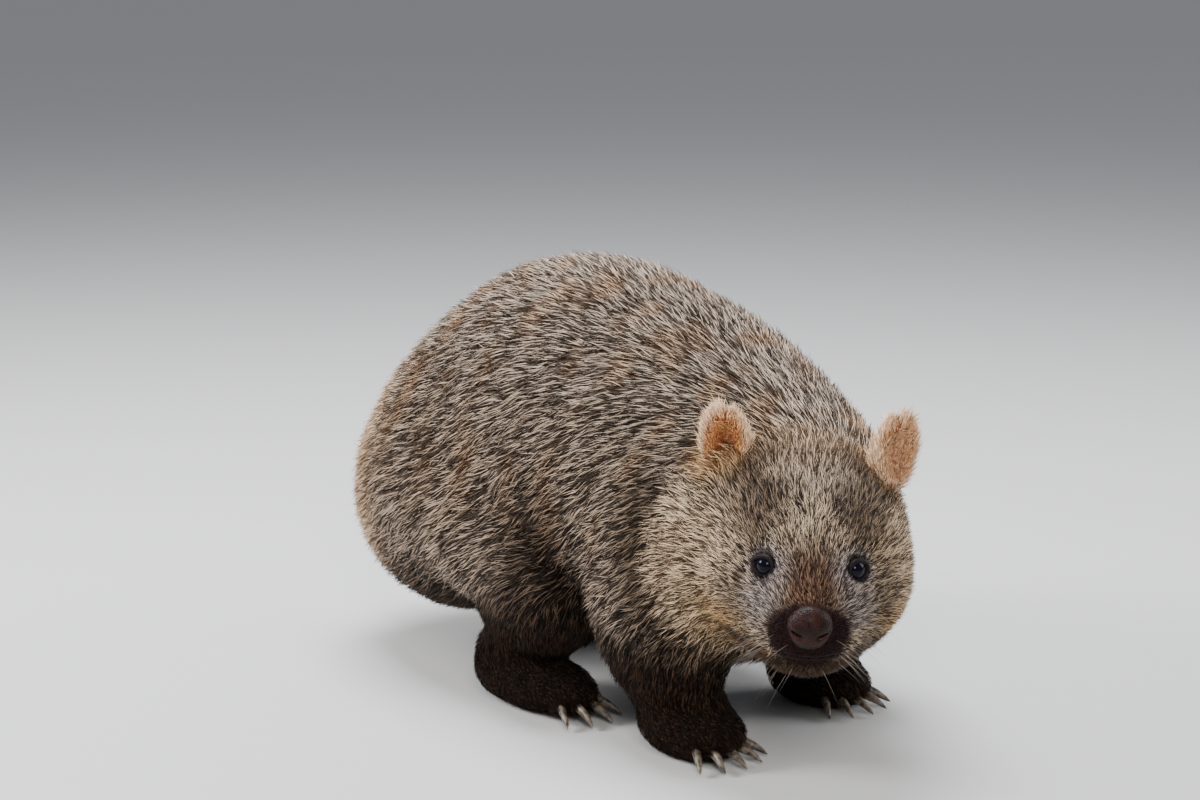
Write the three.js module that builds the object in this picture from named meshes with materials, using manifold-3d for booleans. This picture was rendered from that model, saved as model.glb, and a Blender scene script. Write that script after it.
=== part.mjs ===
// A bare-nosed wombat of Tasmania, life size, standing and looking to its right.
//
// Millimetres, +Z up. The animal stands along Y and faces -Y, so +X is its left side.
// The origin is at the middle of its bounding box, on the floor.
//
// Its outer form, out to the tips of the coat, is one smooth field: rounded masses and
// tapered limbs that melt into each other. The field is turned into closed meshes, each
// part of the body is taken from it by a thin cut, and the small forms are joined on.

import * as THREE from 'three';
import { mergeVertices } from 'three/addons/utils/BufferGeometryUtils.js';
import Module from 'manifold-3d';

const wasm = await Module();
wasm.setup();

// Driving sizes of the animal
const backHeight = 357;
const headYaw = 42.5;
const headPitch = 8;
const headRoll = -2.3;
const headAt = [-74, -302, 179];
const neckYaw = 21;
const gap = 0.3;

// The near side, the animal's right, has its hind foot stepped forward
const sides = [
  { name: 'right', sign: -1, forePaw: -181, knee: -33, hindFoot: -21 },
  { name: 'left', sign: 1, forePaw: -152, knee: 43, hindFoot: 100 },
];

// Colours of the coat and the bare skin
const coatColour = 0x7c6d61;
const faceColour = 0x8f8177;
const legColour = 0x4a3c34;
const earColour = 0xa5724a;
const noseColour = 0x3a2420;
const eyeColour = 0x0c0a0c;

// Rounded mass: the distance to an ellipsoid, from its centre and half lengths
function mass(centre, radii) {
  return (p) => {
    const x = (p.x - centre[0]) / radii[0];
    const y = (p.y - centre[1]) / radii[1];
    const z = (p.z - centre[2]) / radii[2];
    const reach = Math.hypot(x, y, z);
    const slope = Math.hypot(x / radii[0], y / radii[1], z / radii[2]);
    return (reach * (reach - 1)) / Math.max(slope, 1e-9);
  };
}

// Tapered limb: the distance to a cone with round ends
function limb(from, to, radiusFrom, radiusTo) {
  const start = new THREE.Vector3(...from);
  const axis = new THREE.Vector3(...to).sub(start);
  const length = axis.length();
  axis.normalize();
  const sine = (radiusFrom - radiusTo) / length;
  const lean = sine / Math.sqrt(1 - sine * sine);
  const offset = new THREE.Vector3();
  return (p) => {
    offset.copy(p).sub(start);
    const along = offset.dot(axis);
    const across = Math.sqrt(Math.max(offset.lengthSq() - along * along, 0));
    const share = THREE.MathUtils.clamp((along + across * lean) / length, 0, 1);
    const radius = radiusFrom + (radiusTo - radiusFrom) * share;
    return Math.hypot(along - share * length, across) - radius;
  };
}

// Two distances melted together over the width k
function melt(a, b, k) {
  const share = Math.max(k - Math.abs(a - b), 0) / k;
  return Math.min(a, b) - (share * share * k) / 4;
}

// The same field, seen from a frame of its own
function placed(field, frame) {
  const inverse = frame.clone().invert();
  const local = new THREE.Vector3();
  return (p) => field(local.copy(p).applyMatrix4(inverse));
}

// Frame whose X is forward, Y is left and Z is up on a part turned from the animal's own heading
function turnedFrame(yaw, pitch, roll, at) {
  const yawAngle = THREE.MathUtils.degToRad(yaw);
  const pitchAngle = THREE.MathUtils.degToRad(pitch);
  const forward = new THREE.Vector3(
    -Math.sin(yawAngle) * Math.cos(pitchAngle),
    -Math.cos(yawAngle) * Math.cos(pitchAngle),
    -Math.sin(pitchAngle),
  );
  const left = new THREE.Vector3(Math.cos(yawAngle), -Math.sin(yawAngle), 0);
  left.applyAxisAngle(forward, THREE.MathUtils.degToRad(roll));
  const up = forward.clone().cross(left);
  return new THREE.Matrix4().makeBasis(forward, left, up).setPosition(...at);
}

const headFrame = turnedFrame(headYaw, headPitch, headRoll, headAt);
const neckFrame = turnedFrame(neckYaw, 6, 0, [-28, -224, 178]);

// Trunk: barrel, rump and chest, with buttock, thigh and shoulder on each side
const barrel = mass([0, 19, 200], [136, 196, backHeight - 200]);
const rump = mass([0, 133, 160], [131, 139, 122]);
const chest = mass([-5, -119, 185], [122, 133, 131]);
const flanks = sides.map(({ sign, knee }) => [
  { field: mass([sign * 57, 155, 128], [66, 102, 85]), width: 28 },
  { field: limb([sign * 74, 109, 157], [sign * 95, knee, 105], 74, 55), width: 21 },
  { field: mass([sign * 86, -157, 131], [53, 68, 100]), width: 21 },
]).flat();

function trunk(p) {
  let distance = melt(barrel(p), rump(p), 48);
  distance = melt(distance, chest(p), 57);
  for (const { field, width } of flanks) distance = melt(distance, field(p), width);
  return distance;
}

// Head in its own frame: cranium, cheeks, muzzle, jaw, and the ruff pushed up on the inner side of the turn
const cranium = mass([-21, 0, 4], [86, 68, 63]);
const cheeks = [-1, 1].map((sign) => mass([-11, sign * 36, -21], [59, 40, 48]));
const ruff = mass([-48, -66, -19], [48, 38, 57]);
const muzzle = mass([53, 0, -21], [44, 32, 30]);
const jaw = mass([19, 0, -48], [59, 40, 27]);

function headOwn(p) {
  let distance = cranium(p);
  for (const cheek of cheeks) distance = melt(distance, cheek(p), 28);
  distance = melt(distance, ruff(p), 28);
  distance = melt(distance, muzzle(p), 33);
  return melt(distance, jaw(p), 28);
}

const headField = placed(headOwn, headFrame);
const neckField = placed(mass([0, 0, 0], [106, 96, 101]), neckFrame);

// Legs: a forearm and a shin that taper down to flat, broad feet
const legFields = sides.map(({ sign, forePaw, knee, hindFoot }) => [
  limb([sign * 85, forePaw + 19, 105], [sign * 82, forePaw + 5, 38], 44, 32),
  mass([sign * 83, forePaw - 11, 20], [34, 46, 22]),
  limb([sign * 97, knee, 100], [sign * 97, hindFoot + 33, 38], 48, 32),
  mass([sign * 99, hindFoot, 20], [34, 63, 22]),
]).flat();

function legless(p) {
  return melt(melt(trunk(p), neckField(p), 57), headField(p), 33);
}

function body(p) {
  let distance = legless(p);
  for (const field of legFields) distance = melt(distance, field(p), 19);
  return distance;
}

// Slope of a field at a point, from small steps along each axis
function slopeOf(field, point) {
  const step = 0.5;
  const slope = new THREE.Vector3();
  for (const axis of ['x', 'y', 'z']) {
    const ahead = point.clone();
    const behind = point.clone();
    ahead[axis] += step;
    behind[axis] -= step;
    slope[axis] = (field(ahead) - field(behind)) / (2 * step);
  }
  return slope;
}

// Closed mesh of a field. Each grid cell that the surface passes holds one vertex, first at the
// mean of its edges' crossings and then moved onto the surface grown by "grow", and each grid
// edge that crosses the surface joins the four cells round it.
function meshOf(field, low, high, step, grow = 0) {
  const count = [0, 1, 2].map((k) => Math.ceil((high[k] - low[k]) / step) + 1);
  const strides = [1, count[0], count[0] * count[1]];
  const values = new Float64Array(count[0] * count[1] * count[2]);
  const point = new THREE.Vector3();
  const at = (i, j, k) => i * strides[0] + j * strides[1] + k * strides[2];
  for (let k = 0; k < count[2]; k += 1) {
    for (let j = 0; j < count[1]; j += 1) {
      for (let i = 0; i < count[0]; i += 1) {
        point.set(low[0] + i * step, low[1] + j * step, low[2] + k * step);
        values[at(i, j, k)] = field(point);
      }
    }
  }

  const corners = [];
  for (let n = 0; n < 8; n += 1) corners.push([n & 1, (n >> 1) & 1, (n >> 2) & 1]);
  const edges = [];
  for (let a = 0; a < 8; a += 1) {
    for (const bit of [1, 2, 4]) if (!(a & bit)) edges.push([a, a | bit]);
  }

  const positions = [];
  const vertexOf = new Map();
  for (let k = 0; k < count[2] - 1; k += 1) {
    for (let j = 0; j < count[1] - 1; j += 1) {
      for (let i = 0; i < count[0] - 1; i += 1) {
        const corner = corners.map(([a, b, c]) => values[at(i + a, j + b, k + c)]);
        const mean = new THREE.Vector3();
        let crossings = 0;
        for (const [a, b] of edges) {
          if (corner[a] < 0 === corner[b] < 0) continue;
          const share = corner[a] / (corner[a] - corner[b]);
          const start = new THREE.Vector3(...corners[a]);
          mean.add(start.lerp(new THREE.Vector3(...corners[b]), share));
          crossings += 1;
        }
        if (crossings === 0) continue;
        mean.divideScalar(crossings).add(new THREE.Vector3(i, j, k)).multiplyScalar(step);
        mean.add(new THREE.Vector3(...low));
        for (let round = 0; round < 3; round += 1) {
          const slope = slopeOf(field, mean);
          mean.addScaledVector(slope, (grow - field(mean)) / Math.max(slope.lengthSq(), 0.1));
        }
        vertexOf.set(at(i, j, k), positions.length);
        positions.push(mean);
      }
    }
  }

  const faces = [];
  for (let k = 1; k < count[2] - 1; k += 1) {
    for (let j = 1; j < count[1] - 1; j += 1) {
      for (let i = 1; i < count[0] - 1; i += 1) {
        const here = at(i, j, k);
        for (let axis = 0; axis < 3; axis += 1) {
          const inside = values[here] < 0;
          if (inside === values[here + strides[axis]] < 0) continue;
          const u = strides[(axis + 1) % 3];
          const v = strides[(axis + 2) % 3];
          const ring = [here - u - v, here - v, here, here - u].map((cell) => vertexOf.get(cell));
          if (!inside) ring.reverse();
          const [a, b, c, d] = ring;
          const diagonalAC = positions[a].distanceTo(positions[c]);
          const diagonalBD = positions[b].distanceTo(positions[d]);
          if (diagonalAC < diagonalBD) faces.push(a, b, c, a, c, d);
          else faces.push(a, b, d, b, c, d);
        }
      }
    }
  }
  const geometry = new THREE.BufferGeometry();
  geometry.setAttribute('position', new THREE.Float32BufferAttribute(positions.flatMap((p) => p.toArray()), 3));
  geometry.setIndex(faces);
  return geometry;
}

// A three.js geometry as a solid that can be joined and cut
function solid(geometry, frame = null) {
  const bare = geometry.clone();
  bare.deleteAttribute('normal');
  bare.deleteAttribute('uv');
  if (frame) bare.applyMatrix4(frame);
  const merged = mergeVertices(bare, 1e-3);
  const corners = [];
  for (let n = 0; n < merged.index.count; n += 3) {
    const [a, b, c] = merged.index.array.slice(n, n + 3);
    if (a !== b && b !== c && c !== a) corners.push(a, b, c);
  }
  return new wasm.Manifold(new wasm.Mesh({
    numProp: 3,
    vertProperties: new Float32Array(merged.attributes.position.array),
    triVerts: new Uint32Array(corners),
  }));
}

// The largest closed surface of a solid, as a geometry
function largest(shape) {
  const pieces = shape.decompose().sort((a, b) => b.volume() - a.volume());
  const mesh = pieces[0].getMesh();
  const geometry = new THREE.BufferGeometry();
  geometry.setAttribute('position', new THREE.Float32BufferAttribute(mesh.vertProperties, 3));
  geometry.setIndex(Array.from(mesh.triVerts));
  return geometry;
}

// Box with one corner region: everything between two corners
function block(low, high, frame = null) {
  const size = high.map((value, k) => value - low[k]);
  const box = new THREE.BoxGeometry(...size);
  box.translate(...high.map((value, k) => (value + low[k]) / 2));
  return solid(box, frame);
}

// Ellipsoid as a solid
function ball(centre, radii, frame = null, rings = 16) {
  const sphere = new THREE.SphereGeometry(1, rings * 2, rings);
  sphere.scale(...radii);
  sphere.translate(...centre);
  return solid(sphere, frame);
}

const floor = block([-400, -600, -60], [400, 500, 0]);

// Cut round a leg: an arch seen from the side, over the shoulder or the thigh and down past the
// foot, that runs from the middle of the belly outwards
function archCut(sign, crown, halfLength, halfHeight, toeY, heelY, spread) {
  const inner = 42;
  const outer = 220;
  const below = -20;
  const [crownY, crownZ] = crown;
  const shape = new THREE.Shape();
  shape.moveTo(toeY - spread, below);
  shape.lineTo(heelY + spread, below);
  shape.lineTo(crownY + halfLength + spread, crownZ);
  shape.absellipse(crownY, crownZ, halfLength + spread, halfHeight + spread, 0, Math.PI, false, 0);
  shape.closePath();
  const arch = new THREE.ExtrudeGeometry(shape, {
    depth: outer - inner + spread,
    bevelEnabled: false,
    curveSegments: 10,
  });
  const start = sign > 0 ? inner - spread : -outer;
  const frame = new THREE.Matrix4().makeBasis(
    new THREE.Vector3(0, 1, 0),
    new THREE.Vector3(0, 0, 1),
    new THREE.Vector3(1, 0, 0),
  ).setPosition(start, 0, 0);
  return solid(arch, frame);
}

const foreArch = ({ sign, forePaw }, spread) =>
  archCut(sign, [forePaw + 26, 112], 62, 82, forePaw - 66, forePaw + 58, spread);
const hindArch = ({ sign, knee, hindFoot }, spread) =>
  archCut(sign, [knee + 44, 118], 98, 92, hindFoot - 70, hindFoot + 80, spread);

// Claw: a stout cone that bends down towards its tip, along +X
function clawGeometry(length, radius, drop) {
  const cone = new THREE.ConeGeometry(radius, length, 6, 3);
  cone.rotateZ(-Math.PI / 2);
  cone.translate(length / 2, 0, 0);
  const position = cone.attributes.position;
  for (let n = 0; n < position.count; n += 1) {
    const share = position.getX(n) / length;
    position.setZ(n, position.getZ(n) - drop * share * share);
  }
  return cone;
}

// Row of claws round the front of a foot, fanned out from a point near the heel
function claws(count, fanAt, reach, spreadAngle, length, radius) {
  const row = [];
  for (let n = 0; n < count; n += 1) {
    const share = count > 1 ? (2 * n) / (count - 1) - 1 : 0;
    const angle = THREE.MathUtils.degToRad(-90 + share * spreadAngle);
    const toeReach = reach * (1 - 0.1 * share * share);
    const frame = new THREE.Matrix4().makeRotationZ(angle);
    frame.setPosition(
      fanAt[0] + toeReach * Math.cos(angle),
      fanAt[1] + toeReach * Math.sin(angle),
      13,
    );
    row.push(solid(clawGeometry(length, radius, 9), frame));
  }
  return row;
}

function joinAll(first, others) {
  return others.reduce((whole, piece) => whole.add(piece), first);
}

// The whole body as one solid on the floor, at a fine grid for the head, a middle one for the legs
// and a coarse one for the large, smooth trunk
const bodyLow = [-190, -430, -20];
const bodyHigh = [190, 320, 400];
const bodySolid = (field, step) => solid(meshOf(field, bodyLow, bodyHigh, step)).subtract(floor);
const headGrid = 12;
const legGrid = 15;
const trunkGrid = 22;

const group = new THREE.Group();

function addNode(name, shape, colour, roughness = 0.95) {
  const geometry = largest(shape);
  geometry.computeVertexNormals();
  const material = new THREE.MeshStandardMaterial({ color: colour, roughness, metalness: 0 });
  const mesh = new THREE.Mesh(geometry, material);
  mesh.name = name;
  group.add(mesh);
}

// Cut round the head: an ellipsoid behind the ears and the cheeks
const headCut = (spread) => ball([0, 0, 0], [90 + spread, 108 + spread, 112 + spread], headFrame, 11);

// Legs, each with its shoulder or thigh and its claws
const legSkin = bodySolid(body, legGrid);
for (const side of sides) {
  const { name, sign, forePaw, hindFoot } = side;
  const foreClaws = claws(5, [sign * 83, forePaw - 5], 38, 34, 28, 5);
  const foreLeg = legSkin.intersect(foreArch(side, 0)).subtract(headCut(gap));
  addNode(`foreleg_${name}`, joinAll(foreLeg, foreClaws), legColour);
  const hindClaws = claws(4, [sign * 99, hindFoot - 14], 44, 26, 25, 4.6);
  const hindLeg = legSkin.intersect(hindArch(side, 0));
  addNode(`hindleg_${name}`, joinAll(hindLeg, hindClaws), legColour);
}

// Torso and neck: what is left of the body outside the legs, parted at the shoulders
const shoulderFrame = turnedFrame(14, 10, 0, [0, -226, 190]);
const aheadOfShoulder = (spread) => block([-spread, -400, -400], [400, 400, 400], shoulderFrame);

let trunkSolid = bodySolid(legless, trunkGrid);
for (const side of sides) {
  trunkSolid = trunkSolid.subtract(foreArch(side, gap)).subtract(hindArch(side, gap));
}
addNode('torso', trunkSolid.subtract(aheadOfShoulder(gap)).subtract(headCut(gap)), coatColour);
addNode('neck', trunkSolid.intersect(aheadOfShoulder(0)).subtract(headCut(gap)), coatColour);

// Body skin grown by the gap, which clears the pieces that sit on it
const grownBody = solid(meshOf(legless, bodyLow, bodyHigh, headGrid, gap));

// Tail: a short stub under the rump's fur
addNode('tail', ball([0, 272, 146], [12, 19, 13], null, 8).subtract(grownBody), coatColour);

// Point on the head's surface that is met going inwards from a place in the head's frame
function onHead(from, direction) {
  const point = new THREE.Vector3(...from);
  const way = new THREE.Vector3(...direction).normalize();
  for (let round = 0; round < 60; round += 1) point.addScaledVector(way, headOwn(point) * 0.8);
  return point;
}

// Tube along points of the head, as a solid
function tube(points, radius) {
  const section = new THREE.Shape();
  section.absarc(0, 0, radius, 0, Math.PI * 2, false);
  const path = new THREE.CatmullRomCurve3(points);
  const form = new THREE.ExtrudeGeometry(section, {
    steps: points.length,
    curveSegments: 3,
    extrudePath: path,
  });
  return solid(form, headFrame);
}

let head = bodySolid(legless, headGrid).intersect(headCut(0));

// Mouth: a line under the nose with a lip above and below it, split in the middle of the upper lip
const mouthHalfAngle = 52;
const mouthPoints = [];
for (let n = 0; n <= 12; n += 1) {
  const share = n / 6 - 1;
  const angle = THREE.MathUtils.degToRad(share * mouthHalfAngle);
  const height = -41 - 4 * share * share;
  const outside = [38 + 90 * Math.cos(angle), 90 * Math.sin(angle), height];
  mouthPoints.push(onHead(outside, [-Math.cos(angle), -Math.sin(angle), 0]));
}
const lipRadius = 2.6;
for (const side of [-1, 1]) {
  const lip = mouthPoints.slice(1, -1).map((p) => p.clone().add(new THREE.Vector3(-1.4, 0, side * 2.8)));
  head = head.add(tube(lip, lipRadius));
}
head = head.subtract(tube(mouthPoints, 1.2));
const cleft = [-38, -33, -28].map((height) => onHead([130, 0, height], [-1, 0, 0]));
head = head.subtract(tube(cleft, 0.9));

// Eyes: balls set in sockets, each with a lid that rings it
const eyeRadius = 7.5;
const eyeOut = 34;
const eyeUp = 13;
for (const side of sides) {
  const facing = new THREE.Vector3(0.78, side.sign * 0.6, 0.16).normalize();
  const aim = onHead([130, side.sign * eyeOut, eyeUp], [-1, 0, 0]);
  const eyeAt = aim.clone().addScaledVector(facing, 2.2 - eyeRadius);
  const eyeFrame = new THREE.Matrix4().lookAt(facing, new THREE.Vector3(), new THREE.Vector3(0, 0, 1));
  eyeFrame.setPosition(eyeAt);
  eyeFrame.premultiply(headFrame);
  const lid = new THREE.TorusGeometry(6.4, 1.9, 6, 16);
  lid.scale(1.08, 0.94, 1.0);
  lid.translate(0, 0, 4.1);
  head = head.add(solid(lid, eyeFrame));
  head = head.subtract(ball([0, 0, 0], [1, 1, 1].map((v) => v * (eyeRadius + gap)), eyeFrame, 9));
  addNode(`eye_${side.name}`, ball([0, 0, 0], [eyeRadius, eyeRadius, eyeRadius], eyeFrame, 9),
    eyeColour, 0.1);
}
addNode('head', head, faceColour);

// Nose pad: a bare, domed pad with two nostrils that open forwards and outwards
let nose = ball([86, 0, -17], [14, 16.5, 15], headFrame, 11);
nose = nose.add(ball([84, 0, -26], [12, 13, 9], headFrame, 8));
for (const side of [-1, 1]) {
  const nostrilFrame = new THREE.Matrix4().makeRotationX(side * 0.5).setPosition(96, side * 8, -20);
  nose = nose.subtract(ball([0, 0, 0], [6, 2.4, 3.6], headFrame.clone().multiply(nostrilFrame), 6));
}
addNode('nose_pad', nose.subtract(grownBody), noseColour, 0.45);

// Ears: small, upright and rounded, each a leaf of skin with a cup hollowed in its front
for (const side of sides) {
  const turn = side.sign > 0 ? 34 : -24;
  const earFrame = new THREE.Matrix4().makeRotationZ(THREE.MathUtils.degToRad(turn));
  earFrame.multiply(new THREE.Matrix4().makeRotationX(THREE.MathUtils.degToRad(-side.sign * 9)));
  earFrame.setPosition(-45, side.sign * 61, 63);
  earFrame.premultiply(headFrame);
  const leaf = ball([0, 0, 0], [10, 19, 29], earFrame, 10);
  const cup = ball([9, 0, 3], [11.5, 14, 21], earFrame, 9);
  addNode(`ear_${side.name}`, leaf.subtract(cup).subtract(grownBody), earColour);
}

// The box's middle on the floor becomes the origin
group.updateMatrixWorld(true);
const bounds = new THREE.Box3().setFromObject(group, true);
group.position.set(-(bounds.min.x + bounds.max.x) / 2, -(bounds.min.y + bounds.max.y) / 2, -bounds.min.z);

export default group;
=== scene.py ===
"""A bare-nosed wombat, life size, standing and looking to its right, as a museum model.

Lengths are in metres. The animal stands along Y and faces -Y, and +X is its left side.
"""
import math

import bpy
import numpy as np
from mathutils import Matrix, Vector


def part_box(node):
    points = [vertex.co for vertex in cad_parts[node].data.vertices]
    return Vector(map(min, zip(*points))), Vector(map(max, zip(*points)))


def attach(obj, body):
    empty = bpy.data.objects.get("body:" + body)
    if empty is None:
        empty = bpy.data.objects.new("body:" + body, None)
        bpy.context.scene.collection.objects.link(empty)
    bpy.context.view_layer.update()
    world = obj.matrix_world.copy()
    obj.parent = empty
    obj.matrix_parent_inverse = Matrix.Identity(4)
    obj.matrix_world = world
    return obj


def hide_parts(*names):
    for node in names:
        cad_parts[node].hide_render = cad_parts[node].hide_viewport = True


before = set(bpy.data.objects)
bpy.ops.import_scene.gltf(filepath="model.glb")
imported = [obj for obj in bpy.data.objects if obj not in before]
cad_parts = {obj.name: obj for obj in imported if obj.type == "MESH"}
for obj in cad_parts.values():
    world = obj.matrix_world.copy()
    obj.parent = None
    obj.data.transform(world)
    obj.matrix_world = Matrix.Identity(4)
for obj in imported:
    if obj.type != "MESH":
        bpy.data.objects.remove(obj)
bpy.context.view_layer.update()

# Camera: a long lens about two metres off, ahead of the animal's right shoulder and nearly twice as
# high as its back. Its place and heading were found from the outline, eyes, nose and ears.
tail_low, tail_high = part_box("tail")
tail_reach = 0.291
origin = np.array([(tail_low[0] + tail_high[0]) / 2, tail_high[1] - tail_reach, 0.0])
camera_place = np.array([-1.3434, -1.5755, 0.6515]) + origin
camera_heading = math.radians(40.12)
camera_dip = math.radians(11.32)
focal_pixels = 2550.0
photo_width = 1200.0
camera_data = bpy.data.cameras.new("camera")
camera_data.sensor_width = 36.0
camera_data.lens = focal_pixels * camera_data.sensor_width / photo_width
camera = bpy.data.objects.new("camera", camera_data)
camera.location = camera_place
camera.rotation_euler = (math.pi / 2 - camera_dip, 0.0, -camera_heading)
bpy.context.collection.objects.link(camera)
bpy.context.scene.camera = camera

# Floor and light: a pale studio floor and four wide soft lights, from above, from the camera's
# side, from behind and from the animal's left, as on a bright overcast day.
floor_size = 60.0
floor_mesh = bpy.data.meshes.new("studio_floor")
floor_corners = [(-floor_size, -floor_size, 0), (floor_size, -floor_size, 0)]
floor_corners += [(floor_size, floor_size, 0), (-floor_size, floor_size, 0)]
floor_mesh.from_pydata(floor_corners, [], [(0, 1, 2, 3)])
studio_floor = bpy.data.objects.new("studio_floor", floor_mesh)
bpy.context.collection.objects.link(studio_floor)
floor_finish = bpy.data.materials.new("studio_floor_finish")
floor_finish.use_nodes = True
floor_shader = floor_finish.node_tree.nodes["Principled BSDF"]
floor_shader.inputs["Base Color"].default_value = (0.62, 0.61, 0.59, 1)
floor_shader.inputs["Roughness"].default_value = 0.9
floor_mesh.materials.append(floor_finish)

world = bpy.data.worlds.new("studio")
world.use_nodes = True
world.node_tree.nodes["Background"].inputs["Color"].default_value = (0.86, 0.90, 1.0, 1)
world.node_tree.nodes["Background"].inputs["Strength"].default_value = 0.36
bpy.context.scene.world = world


def soft_light(name, place, aim, width, watts, colour):
    """A square area light at a place, turned to its aim."""
    data = bpy.data.lights.new(name, "AREA")
    data.size = width
    data.energy = watts
    data.color = colour
    lamp = bpy.data.objects.new(name, data)
    lamp.location = place
    lamp.rotation_euler = (Vector(aim) - Vector(place)).to_track_quat("-Z", "Y").to_euler()
    bpy.context.collection.objects.link(lamp)


soft_light("sky_light", (0.1, 0.45, 2.1), (0, 0, 0.2), 1.1, 80.0, (0.90, 0.94, 1.0))
soft_light("front_light", (-1.5, -2.0, 1.6), (0, -0.1, 0.15), 0.9, 46.0, (1.0, 0.97, 0.92))
soft_light("rear_light", (-1.8, 1.5, 1.4), (0, 0.1, 0.2), 0.9, 84.0, (0.96, 0.96, 0.98))
soft_light("side_light", (1.9, -1.0, 1.2), (0, -0.2, 0.15), 1.4, 30.0, (0.97, 0.97, 1.0))

# Flesh: one skin for the torso, neck, head, legs and tail. Its form is a field, the distance to
# rounded masses and tapered limbs that melt into each other, and it lies inside the coat's tips.
head_yaw, head_pitch, head_roll = 42.5, 8.0, -2.3
head_place = np.array([-0.074, -0.302, 0.179])
neck_yaw, neck_pitch = 21.0, 6.0
neck_place = np.array([-0.028, -0.224, 0.178])


def turned(yaw, pitch, roll):
    """Columns forward, left and up of a part turned from the animal's heading, in degrees."""
    yaw, pitch, roll = np.radians([yaw, pitch, roll])
    forward = -np.array([np.sin(yaw) * np.cos(pitch), np.cos(yaw) * np.cos(pitch), np.sin(pitch)])
    level = np.array([np.cos(yaw), -np.sin(yaw), 0.0])
    left = level * np.cos(roll) + np.cross(forward, level) * np.sin(roll)
    return np.stack([forward, left, np.cross(forward, left)], axis=1)


head_turn = turned(head_yaw, head_pitch, head_roll)
neck_turn = turned(neck_yaw, neck_pitch, 0.0)


def mass(points, centre, radii):
    """Distance to an ellipsoid: reach times (reach - 1) over slope, both from the scaled point."""
    scaled = (points - np.asarray(centre)) / np.asarray(radii)
    reach = np.sqrt((scaled**2).sum(-1))
    slope = np.sqrt(((scaled / np.asarray(radii)) ** 2).sum(-1)) + 1e-9
    return reach * (reach - 1) / slope


def limb(points, start, end, start_radius, end_radius):
    """Distance to a cone with round ends: to the nearest ball on its axis."""
    start = np.asarray(start)
    axis = np.asarray(end) - start
    length = np.sqrt(axis @ axis)
    offset = points - start
    along = offset @ (axis / length)
    across = np.sqrt(np.maximum((offset**2).sum(-1) - along**2, 0))
    sine = (start_radius - end_radius) / length
    share = np.clip((along + across * sine / math.sqrt(1 - sine**2)) / length, 0, 1)
    return np.hypot(along - share * length, across) - (start_radius + (end_radius - start_radius) * share)


def melt(a, b, width):
    """The nearer of two distances, rounded over a width where they are alike."""
    share = np.maximum(width - np.abs(a - b), 0) / width
    return np.minimum(a, b) - share**2 * width / 4


side_plan = {
    "right": {"sign": -1, "fore_paw": -0.181, "knee": -0.033, "hind_foot": -0.021},
    "left": {"sign": 1, "fore_paw": -0.152, "knee": 0.043, "hind_foot": 0.100},
}
paw_aside, foot_aside = 0.083, 0.099
claw_root_height = 0.013


def claw_rays(count, fan_at, reach, spread):
    """Root and heading of each claw of a fan: equal angles about straight ahead, the outer ones
    a little further back."""
    rays = []
    for place in np.linspace(-1, 1, count):
        angle = math.radians(-90 + place * spread)
        ahead = np.array([math.cos(angle), math.sin(angle), 0.0])
        root = np.array([fan_at[0], fan_at[1], claw_root_height]) + ahead * reach * (1 - 0.1 * place**2)
        rays.append((root, ahead))
    return rays


claw_fans = {}
for side, plan in side_plan.items():
    fore_at = (plan["sign"] * paw_aside, plan["fore_paw"] - 0.005)
    hind_at = (plan["sign"] * foot_aside, plan["hind_foot"] - 0.014)
    claw_fans[f"claws_fore_{side}"] = (claw_rays(5, fore_at, 0.038, 34), 0.028, 0.0046)
    claw_fans[f"claws_hind_{side}"] = (claw_rays(4, hind_at, 0.044, 26), 0.025, 0.0042)
toe_rays = [ray for rays, length, radius in claw_fans.values() for ray in rays]


def in_head(points):
    """Points as forward, left and up of the head's middle."""
    return (points - head_place) @ head_turn


def head_form(points):
    """Distance to the head in its own frame: its masses melted together, with a ruff of longer hair
    behind the right cheek only, where the neck is bent."""
    cranium = mass(points, (-0.021, 0, 0.004), (0.086, 0.068, 0.063))
    right_cheek = mass(points, (-0.011, -0.036, -0.021), (0.059, 0.040, 0.048))
    left_cheek = mass(points, (-0.011, 0.036, -0.021), (0.059, 0.040, 0.048))
    ruff = mass(points, (-0.048, -0.066, -0.019), (0.048, 0.038, 0.057))
    muzzle = mass(points, (0.053, 0, -0.021), (0.044, 0.032, 0.030))
    jaw = mass(points, (0.019, 0, -0.048), (0.059, 0.040, 0.027))
    distance = melt(melt(cranium, right_cheek, 0.028), left_cheek, 0.028)
    distance = melt(melt(distance, ruff, 0.028), muzzle, 0.033)
    return melt(distance, jaw, 0.028)


def trunk_form(points):
    """Distance to the trunk: barrel, rump, chest, buttocks, thighs and shoulders."""
    barrel = mass(points, (0, 0.019, 0.200), (0.136, 0.196, 0.157))
    rump = mass(points, (0, 0.133, 0.160), (0.131, 0.139, 0.122))
    chest = mass(points, (-0.005, -0.119, 0.185), (0.122, 0.133, 0.131))
    distance = melt(melt(barrel, rump, 0.048), chest, 0.057)
    for plan in side_plan.values():
        sign = plan["sign"]
        buttock = mass(points, (sign * 0.057, 0.155, 0.128), (0.066, 0.102, 0.085))
        hip, knee = (sign * 0.074, 0.109, 0.157), (sign * 0.095, plan["knee"], 0.105)
        thigh = limb(points, hip, knee, 0.074, 0.055)
        shoulder = mass(points, (sign * 0.086, -0.157, 0.131), (0.053, 0.068, 0.100))
        distance = melt(melt(melt(distance, buttock, 0.028), thigh, 0.021), shoulder, 0.021)
    return distance


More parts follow.
